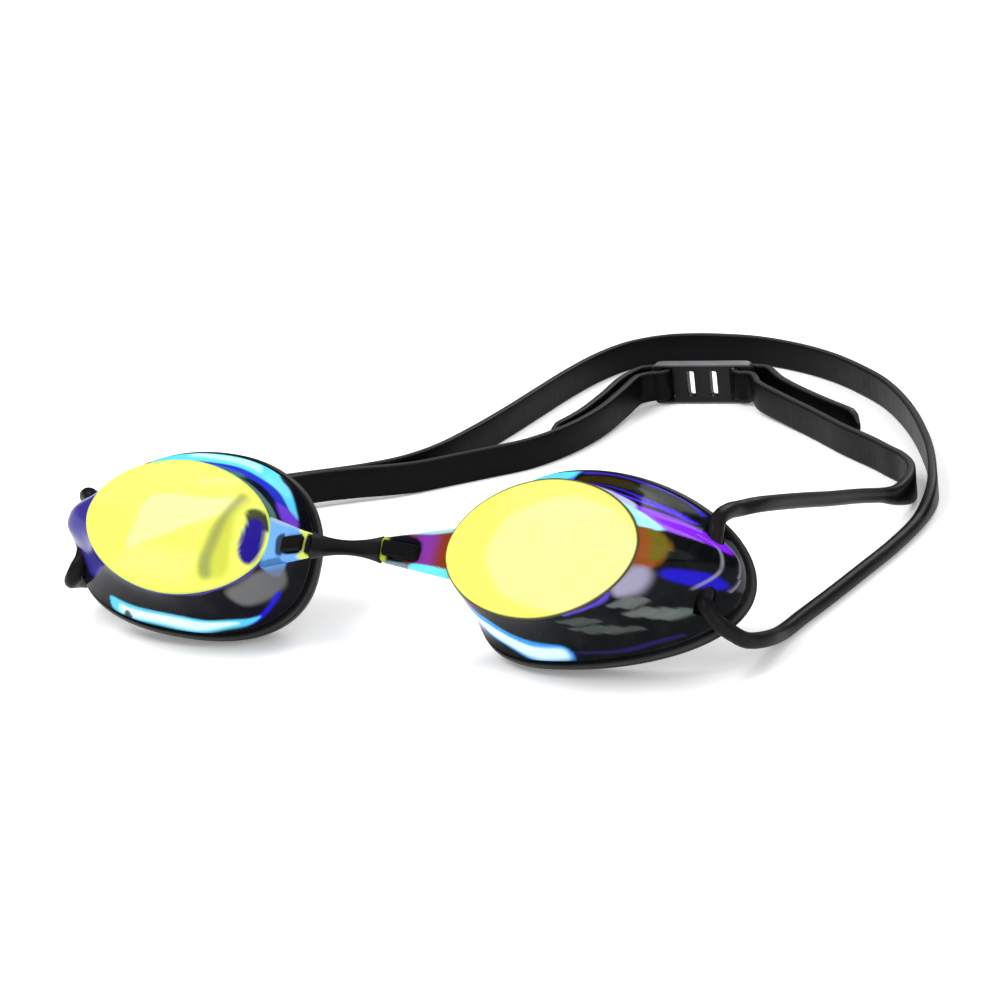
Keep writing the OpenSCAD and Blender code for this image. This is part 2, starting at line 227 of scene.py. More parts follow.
def plastic_material(name):
    """Matte black nylon of the clip: spark-eroded grain and paler upper and lower rims."""
    m = Nodes(name, IOR=1.5, Specular_IOR_Level=0.2)
    grain = m.noise(2200, 2, 0.5)
    cloud = m.noise(90, 3)
    body = m.ramp(cloud, [(0.3, (0.05, 0.05, 0.055)), (0.7, (0.1, 0.1, 0.105))])
    edge = m.math("MULTIPLY", m.attribute("edge"), m.range(cloud, 0.3, 0.7, 0.35, 0.7))
    m.set("Base Color", m.mix(edge, body, linear((0.62, 0.62, 0.64))))
    m.set("Roughness", m.range(grain, 0.3, 0.7, 0.38, 0.55))
    m.bump(grain, 0.2, 0.0002)
    return m.mat


def floor_material():
    """Matt pale table, faintly lit from within like a studio's light table, so its shade stays pale."""
    m = Nodes("pale_floor", Roughness=0.9, Emission_Color=(1, 1, 1, 1), Emission_Strength=0.2)
    m.mat.cycles.emission_sampling = "NONE"
    m.set("Base Color", m.ramp(m.noise(9, 3), [(0.3, (0.965, 0.965, 0.965)), (0.7, (0.98, 0.98, 0.98))]))
    m.bump(m.noise(400, 2), 0.02, 0.0002)
    return m.mat


# ---------------------------------------------------------------- mesh helpers

def face_outward(mesh):
    """Turns the normals of all faces outward."""
    work = bmesh.new()
    work.from_mesh(mesh)
    bmesh.ops.recalc_face_normals(work, faces=work.faces)
    work.to_mesh(mesh)
    work.free()


def to_object(name, points, faces, material, smooth_angle=40):
    """A mesh object from points in millimetres, smooth but for edges sharper than smooth_angle."""
    mesh = bpy.data.meshes.new(name)
    mesh.from_pydata((np.asarray(points, float) * MM).tolist(), [], faces)
    mesh.validate()
    face_outward(mesh)
    mesh.shade_smooth()
    mesh.set_sharp_from_angle(angle=math.radians(smooth_angle))
    mesh.materials.append(material)
    obj = bpy.data.objects.new(name, mesh)
    bpy.context.collection.objects.link(obj)
    return obj


def float_attribute(obj, name, values):
    """Stores one number per vertex."""
    data = obj.data.attributes.new(name, "FLOAT", "POINT")
    data.data.foreach_set("value", np.asarray(values, np.float32))


def paint(obj, name, colours):
    """Stores one colour per vertex, on the face corners."""
    mesh = obj.data
    index = np.empty(len(mesh.loops), np.int32)
    mesh.loops.foreach_get("vertex_index", index)
    rgba = np.ones((len(index), 4), np.float32)
    rgba[:, :3] = colours[index]
    mesh.color_attributes.new(name, "FLOAT_COLOR", "CORNER").data.foreach_set("color", rgba.ravel())


def apply_modifiers(obj):
    """Makes the object's modifiers part of its mesh."""
    done = bpy.data.meshes.new_from_object(obj.evaluated_get(bpy.context.evaluated_depsgraph_get()))
    done.name = obj.name
    obj.modifiers.clear()
    obj.data = done


WELD = 0.01            # how near two vertices are made one
SPLIT_ROUNDS = 6       # each round halves the edges that are too long


def sheet_solid(name, outline, holes, thickness, bevel, material, steps, finest=0):
    """A flat plate with holes and rounded edges, in its own XY plane and centred on Z, in millimetres.

    steps is the resolution of the rounded edges. Edges longer than finest are split, so that the plate
    has enough vertices to be painted.
    """
    curve = bpy.data.curves.new(name, "CURVE")
    curve.dimensions, curve.fill_mode = "2D", "BOTH"
    curve.bevel_depth, curve.bevel_resolution = bevel, steps
    curve.extrude = thickness / 2 - bevel
    curve.offset = -bevel
    for ring in [outline] + holes:
        spline = curve.splines.new("POLY")
        spline.points.add(len(ring) - 1)
        spline.points.foreach_set("co", [v for p in ring for v in (p[0], p[1], 0, 1)])
        spline.use_cyclic_u = True
    shape = bpy.data.objects.new(name + "_shape", curve)
    bpy.context.collection.objects.link(shape)
    mesh = bpy.data.meshes.new_from_object(shape.evaluated_get(bpy.context.evaluated_depsgraph_get()))
    bpy.data.objects.remove(shape)
    work = bmesh.new()
    work.from_mesh(mesh)
    bmesh.ops.remove_doubles(work, verts=work.verts, dist=WELD)
    for _ in range(SPLIT_ROUNDS if finest else 0):
        wide = [e for e in work.edges if e.calc_length() > finest]
        bmesh.ops.subdivide_edges(work, edges=wide, cuts=1)
        bmesh.ops.triangulate(work, faces=[f for f in work.faces if len(f.verts) > 4])
    points = [tuple(v.co) for v in work.verts]
    work.verts.index_update()
    faces = [[v.index for v in f.verts] for f in work.faces]
    work.free()
    return to_object(name, points, faces, material, 50)


def rounded(points, radius, steps=5):
    """A closed 2D outline with its corners rounded."""
    out = []
    count = len(points)
    for i, p in enumerate(points):
        p, a, b = Vector(p), Vector(points[i - 1]), Vector(points[(i + 1) % count])
        r = min(radius, (a - p).length * 0.49, (b - p).length * 0.49)
        start, end = p + (a - p).normalized() * r, p + (b - p).normalized() * r
        for k in range(steps + 1):
            t = k / steps
            out.append(tuple(start * (1 - t) ** 2 + p * (2 * t * (1 - t)) + end * t * t))
    return out


def box(x, half_x, half_y):
    """The corners of a rectangle that is centred on (x, 0)."""
    return [(x - half_x, -half_y), (x + half_x, -half_y), (x + half_x, half_y), (x - half_x, half_y)]


def points_of(obj):
    """The object's vertices in millimetres, one row each."""
    flat = np.empty(len(obj.data.vertices) * 3)
    obj.data.vertices.foreach_get("co", flat)
    return flat.reshape(-1, 3) / MM


def move_points(obj, place):
    """Carries every vertex with place, which takes and gives an array of points in millimetres."""
    moved = place(points_of(obj)) * MM
    obj.data.vertices.foreach_set("co", moved.ravel())
    obj.data.update()
    face_outward(obj.data)


# ---------------------------------------------------------------- the cup's shape

# Measures are in millimetres and degrees. A cup's own frame has x out, y back and z up.
EYE_SPACING, FACE_HEIGHT, FACE_TILT, TOE_IN = 80, 26.1, 37.5, 5.5
RIM_BEND, RIM_LEAN, RIM_SHIFT = 0.0085, 0.054, (-0.5, -0.8)
NOSE_FULL, RIDGE_HALF, RIDGE_RISE = 0.4, 5, 2.2
OVAL_TURN, RIM_TURN = 4.3, 1.6
POST, POST_Z, TAB_ROOT = (-31.5, -4.5), -2.5, (-19.2, 1.9)
TUNNEL, TUNNEL_R, TUNNEL_ENDS = (28, 14.6), 1.8, (-7.5, 9.5)
FACE_HALF, FACE_DOME = (20.2, 13.1), 0.5
OVAL_EDGE = [(0.1, 20.55, 13.45), (0.28, 20.74, 13.64)]
BACK_HALF, BACK_DEPTH, BACK_DOME = (18.4, 11.3), 1.75, 0.1
OVAL_FULL = 1.9
LENS_SIDES, GASKET_SIDES, LENS_CREASE = 360, 180, 32

# Each row: depth, share of the rim's bend, sizes to nose, temple, brow and cheek, roundness, ridge.
WALL = [
    (0.5, 0, 20.8, 20.8, 13.7, 13.7, 1.9, 0), (3, 0.2, 21, 22.2, 14.1, 14.1, 2, 3.2),
    (5.5, 0.45, 21.1, 24.4, 14.8, 14.7, 2.1, 5.8), (8, 0.7, 21.3, 28, 16.2, 15.6, 2.1, 4.4),
    (9.6, 0.9, 21.8, 31.6, 17.8, 16.6, 2, 1.8), (10.6, 1, 22.2, 33.2, 18.8, 17.6, 2, 0.3),
]
FLANGE = [(10.6, 1, 22.2, 33.2, 18.8, 17.6, 2, 0.3), (11.75, 1, 22.2, 33.2, 18.8, 17.6, 2, 0)]
SEAT = [(11.75, 1, 22, 33, 18.6, 17.4, 2, 0), (11.75, 1, 19.94, 23.9, 15.7, 14.8, 2, 0)]
HOLLOW = [
    (11.75, 1, 19.94, 23.9, 15.7, 14.8, 2, 0), (9, 0.8, 19.7, 23.6, 14.6, 14, 2, 0),
    (5.5, 0.45, 19.4, 21.4, 13.2, 13, 2, 0), (2.6, 0.1, 19.2, 19.4, 12.1, 12.1, 1.9, 0),
    (1.8, 0, 18.7, 18.7, 11.6, 11.6, 1.9, 0),
]
GASKET = [
    (11.9, 1, 22.7, 33.6, 19.3, 18, 2, 0), (12.7, 1, 23, 34, 19.8, 18.4, 2, 0),
    (14, 1, 23, 34, 19.8, 18.4, 2, 0), (17.2, 1, 21.8, 32, 18.9, 17.4, 2, 0),
    (19.6, 1, 19.4, 29.4, 17.3, 16, 2, 0), (20.75, 1, 18, 27.8, 16.2, 14.8, 2, 0),
    (20.85, 1, 16.9, 26.5, 15.1, 13.9, 2, 0), (20.2, 1, 15.8, 25, 14, 12.8, 2, 0),
    (16.5, 1, 17.4, 24.2, 14.8, 13.6, 2, 0), (11.9, 1, 20, 24.4, 16, 15, 2, 0),
]


def smooth(rows, steps):
    """A Catmull-Rom curve through the rows."""
    rows = [np.asarray(r, float) for r in rows]
    out = []
    for i in range(len(rows) - 1):
        a, b = rows[max(i - 1, 0)], rows[i]
        c, d = rows[i + 1], rows[min(i + 2, len(rows) - 1)]
        for k in range(steps):
            t = k / steps
            out.append((2 * b + (c - a) * t + (2 * a - 5 * b + 4 * c - d) * t * t
                        + (3 * b - a - 3 * c + d) * t ** 3) / 2)
    return out + [rows[-1]]


def straight(rows, steps):
    """Straight lines through the rows."""
    rows = [np.asarray(r, float) for r in rows]
    out = [a + (b - a) * k / steps for a, b in zip(rows, rows[1:]) for k in range(steps)]
    return out + [rows[-1]]


def turned(x, y, degrees):
    """The point (x, y) turned about the origin."""
    c, s = math.cos(math.radians(degrees)), math.sin(math.radians(degrees))
    return x * c - y * s, x * s + y * c


def outline(row, angles):
    """Points of one outline in the cup's own frame: out, back and up."""
    depth, share, nose, temple, brow, cheek, full, ridge = row
    cos, sin = np.cos(angles), np.sin(angles)
    e = 2 / (full + np.where(cos < 0, NOSE_FULL * share, 0))
    z = np.sign(sin) * np.abs(sin) ** e * np.where(sin > 0, brow, cheek)
    off = (z - RIDGE_RISE * share) / RIDGE_HALF
    reach = np.where(cos > 0, temple + ridge * np.exp(-np.abs(off) ** 3), nose)
    x = np.sign(cos) * np.abs(cos) ** e * reach
    qx, qz = turned(x, z, OVAL_TURN + (RIM_TURN - OVAL_TURN) * share)
    qx, qz = qx + RIM_SHIFT[0] * share, qz + RIM_SHIFT[1] * share
    return np.stack([qx, depth + share * (RIM_BEND * qx * qx - RIM_LEAN * qz), qz], 1)


def in_cup(points, side):
    """From a cup's own frame to the shared frame."""
    p = np.atleast_2d(np.asarray(points, float))
    x, y = turned(p[:, 0], p[:, 1], -TOE_IN)
    c, s = math.cos(math.radians(FACE_TILT)), math.sin(math.radians(FACE_TILT))
    return np.stack([side * (EYE_SPACING / 2 + x), y * c + p[:, 2] * s, FACE_HEIGHT - y * s + p[:, 2] * c], 1)


def oval_row(depth, wide, high):
    """A row of WALL's kind for the flat oval."""
    return (depth, 0, wide, wide, high, high, OVAL_FULL, 0)


def full_turn(n):
    """n angles, evenly round a circle."""
    return np.arange(n) * 2 * math.pi / n


def rings_to_faces(count, n, closed=False):
    """Quads between rings of n points each; closed joins the last ring to the first."""
    faces = []
    for i in range(count if closed else count - 1):
        j = (i + 1) % count
        faces += [[i * n + k, i * n + (k + 1) % n, j * n + (k + 1) % n, j * n + k] for k in range(n)]
    return faces


def capped_faces(count, n):
    """Quads between rings of n points each, and a face over the first and the last ring."""
    last = (count - 1) * n
    return rings_to_faces(count, n) + [list(range(n)), list(range(last, last + n))]


# ---------------------------------------------------------------- the mirror coat's colour and painted reflections

DEGREE = 0.4           # millimetres round the wall for each degree, near enough for painting the reflections
PATCH_ROUND = 3        # radius of a patch's corners
PATCH_WAVE = 0.14      # how far its outline wanders


def near(points, polygon, soft):
    """How far inside a polygon each point lies, from 0 outside to 1 inside, over a soft edge."""
    p = np.asarray(points, float)
    gap = np.full(len(p), 1e9)
    inside = np.zeros(len(p), bool)
    ring = np.asarray(polygon, float)
    for a, b in zip(ring, np.roll(ring, -1, 0)):
        run = b - a
        t = np.clip(((p - a) @ run) / max(run @ run, 1e-9), 0, 1)
        gap = np.minimum(gap, np.linalg.norm(p - a - t[:, None] * run, axis=1))
        crosses = (a[1] > p[:, 1]) != (b[1] > p[:, 1])
        with np.errstate(divide="ignore", invalid="ignore"):
            inside ^= crosses & (p[:, 0] < a[0] + (p[:, 1] - a[1]) * run[0] / run[1])
    t = np.clip(np.where(inside, gap, -gap) / soft + 0.5, 0, 1)
    return t * t * (3 - 2 * t)


def tinted(base, points, patches, round_by=None):
    """Colours over the base, patch by patch: (outline, colour, softness, strength).

    With round_by, the outlines repeat at that distance, which is once round the wall.
    """
    colours = np.tile(np.array(linear(base)[:3]), (len(points), 1))
    shifts = (0,) if round_by is None else (-round_by, 0, round_by)
    x, y = points.T
    points = points + PATCH_WAVE * np.stack([np.sin(0.8 * y + 0.3 * x), np.sin(0.5 * x - 0.4 * y)], 1)
    for corners, colour, soft, strength in patches:
        polygon = rounded(corners, PATCH_ROUND, 3)
        mask = np.max([near(points + np.array([s, 0]), polygon, soft) for s in shifts], 0) * strength
        colours += mask[:, None] * (np.array(linear(colour)[:3]) - colours)
    return colours


def oval(x, z, rx, rz):
    """An oval patch."""
    return [(x + rx * math.cos(t), z + rz * math.sin(t)) for t in np.linspace(0, 2 * math.pi, 28)[:-1]]


def bent(*corners):
    """An outline given as (angle, depth) on the wall, in millimetres."""
    return [(a * DEGREE, d) for a, d in corners]


def streaks(places, long, colour, strength):
    """Slanted thin painted reflections, each given by the angle, depth and width of its left end."""
    return [(bent((a, d), (a + long, d + 1), (a + long + 2, d + 1 + w), (a + 2, d + w)),
             colour, 0.5, strength) for a, d, w in places]


CYAN, ICE, MAGENTA = (0.36, 0.82, 0.97), (0.9, 1, 0.98), (0.52, 0.13, 0.92)
NIGHT, SMOKE = (0.05, 0.05, 0.075), (0.45, 0.45, 0.45)

# Each has a base colour and then patches: outline, colour, softness in millimetres, strength. On the walls,
# rims and nose tabs, base and patches are painted reflections: pale, cyan, blue and violet where the coat
# mirrors the lamps, near black where it mirrors dark surroundings. On the oval the yellow base is the coat's
# own colour and the patches over it are painted reflections. On the wall an outline is in angle and depth, on
# the oval in x and z, and on the nose tab in the plate's own plane.
WALL_PAINTED_REFLECTIONS = {
    "left": ((0.045, 0.045, 0.075), [
        (bent((-50, -3), (66, -3), (60, 8), (-40, 8)), (0.22, 0.18, 0.53), 1.5, 1),
        (bent((-20, 8.5), (40, 8.5), (40, 12), (-20, 12)), (0.3, 0.28, 0.33), 1.2, 0.9),
        (bent((45, 5), (150, 4.4), (150, 9), (45, 9)), (0.15, 0.2, 0.75), 1.2, 1),
        (bent((58, 0.6), (160, 0.6), (150, 4.2), (70, 4.8)), (0.06, 0.08, 0.16), 0.9, 1),
        (bent((112, 0.5), (168, 0.5), (165, 2.4), (128, 2)), (0.34, 0.46, 0.44), 0.6, 1),
        (bent((60, 8.2), (100, 7.9), (130, 7.3), (152, 6.9), (159, 8.3), (134, 9.4), (110, 14), (60, 14)),
         CYAN, 0.6, 1),
        (bent((76, 9.6), (116, 8.7), (112, 10.2), (80, 10.6)), (0.75, 0.95, 1), 0.8, 0.9),
        (bent((120, 10.3), (136, 9.6), (162, 8.8), (170, 18), (116, 18)), NIGHT, 0.5, 1),
        (bent((140, 4.5), (158, 3), (170, 6), (158, 9)), (0.45, 0.25, 0.85), 1.2, 0.9),
        (bent((164, 0.5), (202, 0.5), (200, 6), (166, 6)), (0.42, 0.65, 0.94), 1, 1),
        (bent((166, 6.5), (200, 6.5), (204, 12), (160, 12)), (0.05, 0.05, 0.06), 1, 1),
        (bent((208, 1), (188, 5.5), (194, 8), (212, 8), (233, 6), (232, 1.6)), SMOKE, 1.6, 0.8),
        (bent((244, 9.3), (222, 9.1), (207, 7.7), (202, 7.9), (206, 8.6), (222, 9.8), (240, 10.1)),
         (0.13, 0.1, 0.8), 0.5, 1),
        (bent((307, 8.6), (290, 8), (270, 7.9), (250, 8.6), (222, 9.4), (240, 10.2), (262, 10.5),
              (285, 10.6), (305, 10.4)), CYAN, 0.45, 1),
        (bent((300, 9), (270, 8.5), (250, 9), (236, 9.6), (262, 10.2), (300, 10.2)), ICE, 0.6, 1),
        (bent((291, 10.7), (295, 9.1), (298, 10.7)), NIGHT, 0.3, 0.9),
        (bent((200, 0.5), (330, 0.5), (330, 0.95), (200, 0.95)), (0.35, 0.28, 0.62), 0.3, 0.9),
    ]),
    "right": ((0.045, 0.052, 0.062), [
        (bent((88, -6), (88, 18), (165, 18), (165, -6)), (0.22, 0.45, 0.93), 0.25, 1),
        (bent((88.4, 8), (108, 7), (120, 4.2), (140, 2), (165, 1), (165, 18), (88.4, 18)), CYAN, 0.9, 1),
        (bent((118, 4.4), (140, 2.2), (168, 0.6), (168, 3), (140, 5)), (0.8, 0.82, 0.93), 0.9, 0.9),
        (bent((36, 9.6), (50, 10.4), (87, 9.9), (87, 11), (40, 11.2)), (0.2, 0.15, 0.68), 0.3, 1),
        (bent((60, 7), (87, 6.6), (87, 9.4), (64, 9.6)), (0.2, 0.16, 0.04), 0.8, 0.9),
        (bent((36, 8.8), (56, 7.2), (72, 7.8), (56, 9.6), (40, 9.9)), (0.13, 0.16, 0.1), 0.8, 0.9),
        (bent((66, 2.6), (86, 1.6), (86, 3.2), (64, 4.4)), (0.17, 0.16, 0.18), 0.8, 0.8),
        (bent((33, 8), (48, 5.8), (87, 5), (87, 5.7), (52, 6.4), (34, 8.7)), (0.19, 0.12, 0.75), 0.35, 1),
        (bent((66, 0.8), (50, 3), (41, 6), (30, 8.3), (30, 9.1), (41, 7.1), (50, 4.4), (60, 2.1)),
         (0.34, 0.16, 0.95), 0.45, 1),
        (bent((64, 0.5), (34, 0.5), (34, 3), (44, 3.6), (54, 2)), (0.72, 0.74, 0.95), 0.8, 1),
        (bent((42, 3), (24, 2), (14, 3.4), (11, 8.8), (18, 9.6), (30, 8)), MAGENTA, 0.8, 1),
        (bent((40, 0.4), (16, 0.4), (13, 2), (16, 3.4), (32, 2.8)), (0.62, 0.93, 0.98), 0.7, 1),
        (bent((15, -3), (16, 1.6), (14, 2.6), (4, 3), (-8, 2.7), (-15, 2.4), (-21, 1.4), (-23, -3)),
         (0.55, 0.28, 0.1), 0.6, 1),
        (bent((15, 1.3), (14, 2.6), (4, 3), (-8, 2.7), (-13, 1.6)), (0.4, 0.38, 0.08), 0.9, 0.95),
        (bent((-12, 3.2), (-8, 5), (-5, 7.2), (-6, 9.2), (-12, 8.8), (-15, 6), (-18, 3.4)),
         (0.12, 0.08, 0.72), 0.8, 1),
        (bent((-20, 0), (-15, 1.8), (-22, 3.6), (-32, 4.2), (-42, 2), (-38, 0)),
         (0.62, 0.6, 0.7), 1.9, 0.95),
        (bent((-40, 0.5), (-72, 0.5), (-72, 1), (-44, 1.4)), (0.36, 0.28, 0.8), 0.4, 0.9),
        (bent((-16, 7.1), (21, 7.1), (21, 7.35), (-16, 7.35)), (0.55, 0.55, 0.62), 0.25, 0.9),
        (bent((-10, 9.35), (27, 9.35), (27, 9.6), (-10, 9.6)), (0.5, 0.5, 0.56), 0.25, 0.9),
        (bent((-8, 9.7), (24, 9.7), (22, 11), (-4, 11)), (0.28, 0.28, 0.28), 0.7, 0.8),
        *streaks([(281, 1.5, 1.2), (285, 2.6, 1.3), (283, 3.9, 1), (288, 4.9, 1.4), (295, 6.2, 1.1)],
                 15, (0.3, 0.33, 0.31), 0.75),
        *streaks([(310, 2, 1.3), (314, 3.2, 1.4), (311, 4.5, 1.5), (316, 5.8, 1.5), (320, 7, 1.2)],
                 13, (0.4, 0.43, 0.42), 0.8),
        (bent((276, 9.5), (300, 9.7), (320, 10), (320, 10.3), (298, 10.1), (276, 9.8)),
         (0.15, 0.12, 0.36), 0.3, 0.9),
        (bent((204, 1.2), (222, 1.4), (234, 4), (224, 6), (206, 5)), MAGENTA, 0.8, 1),
        (bent((208, 2.6), (238, 3.4), (262, 7.2), (277, 8.5), (279, 10.7), (262, 10.6), (240, 9), (214, 7.5)),
         (0.22, 0.62, 0.95), 0.6, 1),
        (bent((214, 4.2), (238, 5.2), (262, 8.4), (276, 8.9), (277, 10.5), (262, 10.3), (240, 8.6),
              (218, 6.8)), ICE, 0.8, 1),
        (bent((164, 0.5), (200, 0.5), (198, 5), (166, 5)), (0.5, 0.28, 0.2), 0.8, 1),
    ]),
}
# The oval's yellow base is the coat's own colour; the patches over it are painted reflections, pale where it
# mirrors the lamps, dark where it mirrors dark surroundings.
FACE_COAT_AND_REFLECTIONS = {
    "left": ((0.89, 0.93, 0.4), [
        ([(13, -9.5), (-4, -12), (-8, -6), (9, -4)], (0.92, 0.93, 0.48), 3, 0.9),
        ([(7.6, 6.1), (-15.9, 6.4), (-7, 2), (0, -1), (10.8, -6.2)], (0.93, 0.93, 0.6), 0.8, 0.95),
        ([(-2, 9.8), (-11, 10.4), (-12, 9.6), (-3, 9)], (0.93, 0.93, 0.55), 0.8, 0.8),
        ([(-13, 8), (-9.3, 4), (-7, -1), (-6, -7), (-7.2, -10.8), (-13, -10), (-13.5, -6), (-12.6, 0),
          (-13.4, 4), (-16, 6.6)], (0.66, 0.68, 0.2), 2.6, 0.6),
        ([(-12.6, 8), (-9.8, 3.6), (-7.6, -1), (-6.6, -7), (-7.4, -10.2), (-9.8, -10), (-9.2, -7),
          (-9.9, -1), (-11.8, 4), (-14, 7.2)], (0.5, 0.52, 0.34), 1.8, 0.7),
        ([(-14.3, 4.4), (-17, 5.2), (-20, 3.6), (-20.4, 0), (-18, 1), (-15.6, 0.2)],
         (0.07, 0.07, 0.07), 1, 0.95),
        (oval(-17, -1.8, 2.7, 4.7), (0.14, 0.09, 0.5), 1, 1),
    ]),
    "right": ((0.92, 0.93, 0.41), [
        (oval(5, -1, 16.2, 10.9), (0.93, 0.925, 0.57), 1.6, 0.95),
        ([(-16, 6), (-10, 10.8), (-9, 10.2), (-15, 5.4)], (0.9, 0.93, 0.35), 1, 0.8),
    ]),
}
# The oval's rim: a painted pale reflection on the left lens and a painted dark reflection on the right.
RIM_PAINTED_REFLECTIONS = {"left": (0.8, 0.86, 0.4), "right": (0.3, 0.28, 0.2)}
INSIDE_TINT, TUNNEL_TINT = (0.2, 0.17, 0.12), (0.06, 0.06, 0.08)
SEAT_SHADE, SHADED_ROWS = 0.6, 4       # the seat's rows that the gasket hides are darker


def add_lens(side_name, material):
    """Oval, wall, flange and eye hollow in one shell, painted with the coat's colour and its painted
    reflections, with the strap's tunnel drilled through.
    """
    side = SIDES[side_name]
    n = LENS_SIDES
    angles = full_turn(n)
    face = [oval_row(-FACE_DOME * (1 - s ** 2), FACE_HALF[0] * s, FACE_HALF[1] * s)
            for s in np.linspace(0.04, 1, 26)]
    rim = [oval_row(*row) for row in OVAL_EDGE]
    skin = face + rim + smooth(WALL, 7) + straight(FLANGE, 4)[1:] + straight(SEAT, 5)
    pocket = smooth(HOLLOW, 5)[1:]
    back = [oval_row(BACK_DEPTH - BACK_DOME * (1 - s), BACK_HALF[0] * s, BACK_HALF[1] * s)
            for s in np.linspace(1, 0.06, 9)]
    rows = skin + pocket + back
    points = np.concatenate([outline(r, angles) for r in rows])
    depth = np.repeat([r[0] for r in rows], n)
    wall = np.stack([np.tile(np.degrees(angles), len(rows)) * DEGREE, depth], 1)
    # Painted reflections over the wall, the oval and its rim; only the oval's yellow base is the coat's own
    # colour.
    base, patches = WALL_PAINTED_REFLECTIONS[side_name]
    colours = tinted(base, wall, patches, 360 * DEGREE)
    face_end, skin_end = len(face) * n, len(skin) * n
    base, patches = FACE_COAT_AND_REFLECTIONS[side_name]
    colours[:face_end] = tinted(base, points[:face_end][:, [0, 2]], patches)
    colours[face_end:face_end + len(rim) * n] = linear(RIM_PAINTED_REFLECTIONS[side_name])[:3]
    colours[skin_end - SHADED_ROWS * n:skin_end] *= SEAT_SHADE
    colours[skin_end:] = linear(INSIDE_TINT)[:3]
    lens = to_object(side_name + "_lens_shell", in_cup(points, side), capped_faces(len(rows), n),
                     material, LENS_CREASE)
    paint(lens, "coat", colours)

    around = angles[::8]
    ring = np.stack([TUNNEL[0] + TUNNEL_R * np.cos(around), TUNNEL[1] + TUNNEL_R * np.sin(around)], 1)
    rod = np.array([(x, y, z) for z in TUNNEL_ENDS for x, y in ring])
    drill = to_object(side_name + "_drill", in_cup(rod, side), capped_faces(2, len(ring)), material)
    paint(drill, "coat", np.tile(linear(TUNNEL_TINT)[:3], (len(rod), 1)))
    cut = lens.modifiers.new("tunnel", "BOOLEAN")
    cut.operation, cut.solver, cut.object = "DIFFERENCE", "EXACT", drill
    bpy.context.view_layer.update()
    apply_modifiers(lens)
    bpy.data.objects.remove(drill)
    lens.data.set_sharp_from_angle(angle=math.radians(LENS_CREASE))
    return lens


# ---------------------------------------------------------------- nose tab with its loop

TAB_LONG = math.hypot(TAB_ROOT[0] - POST[0], TAB_ROOT[1] - POST[1])
TAB_THICK, TAB_BEVEL, TAB_FINEST = 2.1, 0.5, 0.45
TIP_R, TIP_BACK, TIP_FLAT = 2.1, 1.1, 0.45
# The nose tabs' colours are painted reflections, with painted shade round the loop's hole and at the tip's
# end.
TAB_PAINTED_REFLECTIONS = {
    "left": ((0.42, 0.64, 0.93), [
        ([(-1, 4.6), (13, 1.6), (13, -0.2), (6, 1.6), (-1, 3.4)], (0.62, 0.68, 0.72), 0.5, 0.9),
        ([(-1, -7), (7, -6), (7, -5), (-1, -5.4)], (0.22, 0.42, 0.62), 0.7, 0.9),
        ([(4.2, -0.4), (7.4, 0.2), (7.4, -5), (4.8, -4.6)], (0.14, 0.2, 0.26), 0.8, 0.95),
        ([(11, -0.2), (11, 3), (18, 3), (18, -8), (11, -8), (11, -4.9), (13.2, -4.4), (13.2, -0.6)],
         (0.82, 0.87, 0.42), 0.5, 1),
        ([(14.1, 6), (20, 6), (20, -11), (14.1, -11)], NIGHT, 0.3, 1),
    ]),
    "right": ((0.5, 0.2, 0.13), [
        ([(4, 3), (4, -6), (8, -6), (8, 3)], (0.5, 0.2, 0.6), 3, 1),
        ([(6.6, 0.8), (6.6, -4.6), (14, -4), (14, 0)], (0.08, 0.06, 0.12), 0.8, 1),
        ([(9.5, 6), (17, 6), (17, -11), (9.5, -11)], (0.07, 0.09, 0.12), 1, 1),
        ([(-1, 3.2), (14.5, -0.4), (14.5, 1.4), (-1, 5)], (0.62, 0.8, 0.82), 0.4, 1),
        ([(-1, -7), (8.4, -6.4), (8.4, -4.6), (-1, -4.5)], (0.42, 0.88, 0.93), 0.4, 1),
        ([(8.6, -6.2), (13, -6), (13, -4.6), (8.6, -4.7)], (0.45, 0.53, 0.58), 0.5, 1),
        ([(13, 4), (18, 4), (18, -9), (13, -9)], (0.62, 0.66, 0.2), 0.5, 1),
        ([(14.2, 6), (20, 6), (20, -11), (14.2, -11)], NIGHT, 0.3, 1),
    ]),
}


def add_tab(side_name, material):
    """The plate from the cup towards the nose, with the loop that the bridge's hook clips into."""
    side = SIDES[side_name]
    tip = [(TAB_LONG - TIP_BACK + TIP_R * math.cos(t),
            POST_Z + TIP_FLAT * math.copysign(1, math.sin(t)) + TIP_R * math.sin(t))
           for t in np.linspace(-math.pi / 2, math.pi / 2, 16)]
    plate = [(-1.5, -6.3)] + tip + [(-1.5, 4.4)]
    hole = rounded([(7, -4.2), (TAB_LONG - 1, -4.2), (TAB_LONG - 1, -0.8), (7, -0.8)], 1.6)
    tab = sheet_solid(side_name + "_nose_tab", plate, [hole], TAB_THICK, TAB_BEVEL, material,
                      4, TAB_FINEST)
    # Painted reflections and painted shade on the tab.
    base, patches = TAB_PAINTED_REFLECTIONS[side_name]
    paint(tab, "coat", tinted(base, points_of(tab)[:, :2], patches))
    run = np.array([POST[0] - TAB_ROOT[0], POST[1] - TAB_ROOT[1]]) / TAB_LONG

    def place(p):
        x = TAB_ROOT[0] + run[0] * p[:, 0] - run[1] * p[:, 2]
        y = TAB_ROOT[1] + run[1] * p[:, 0] + run[0] * p[:, 2]
        return in_cup(np.stack([x, y, p[:, 1]], 1), side)

    move_points(tab, place)
    return tab


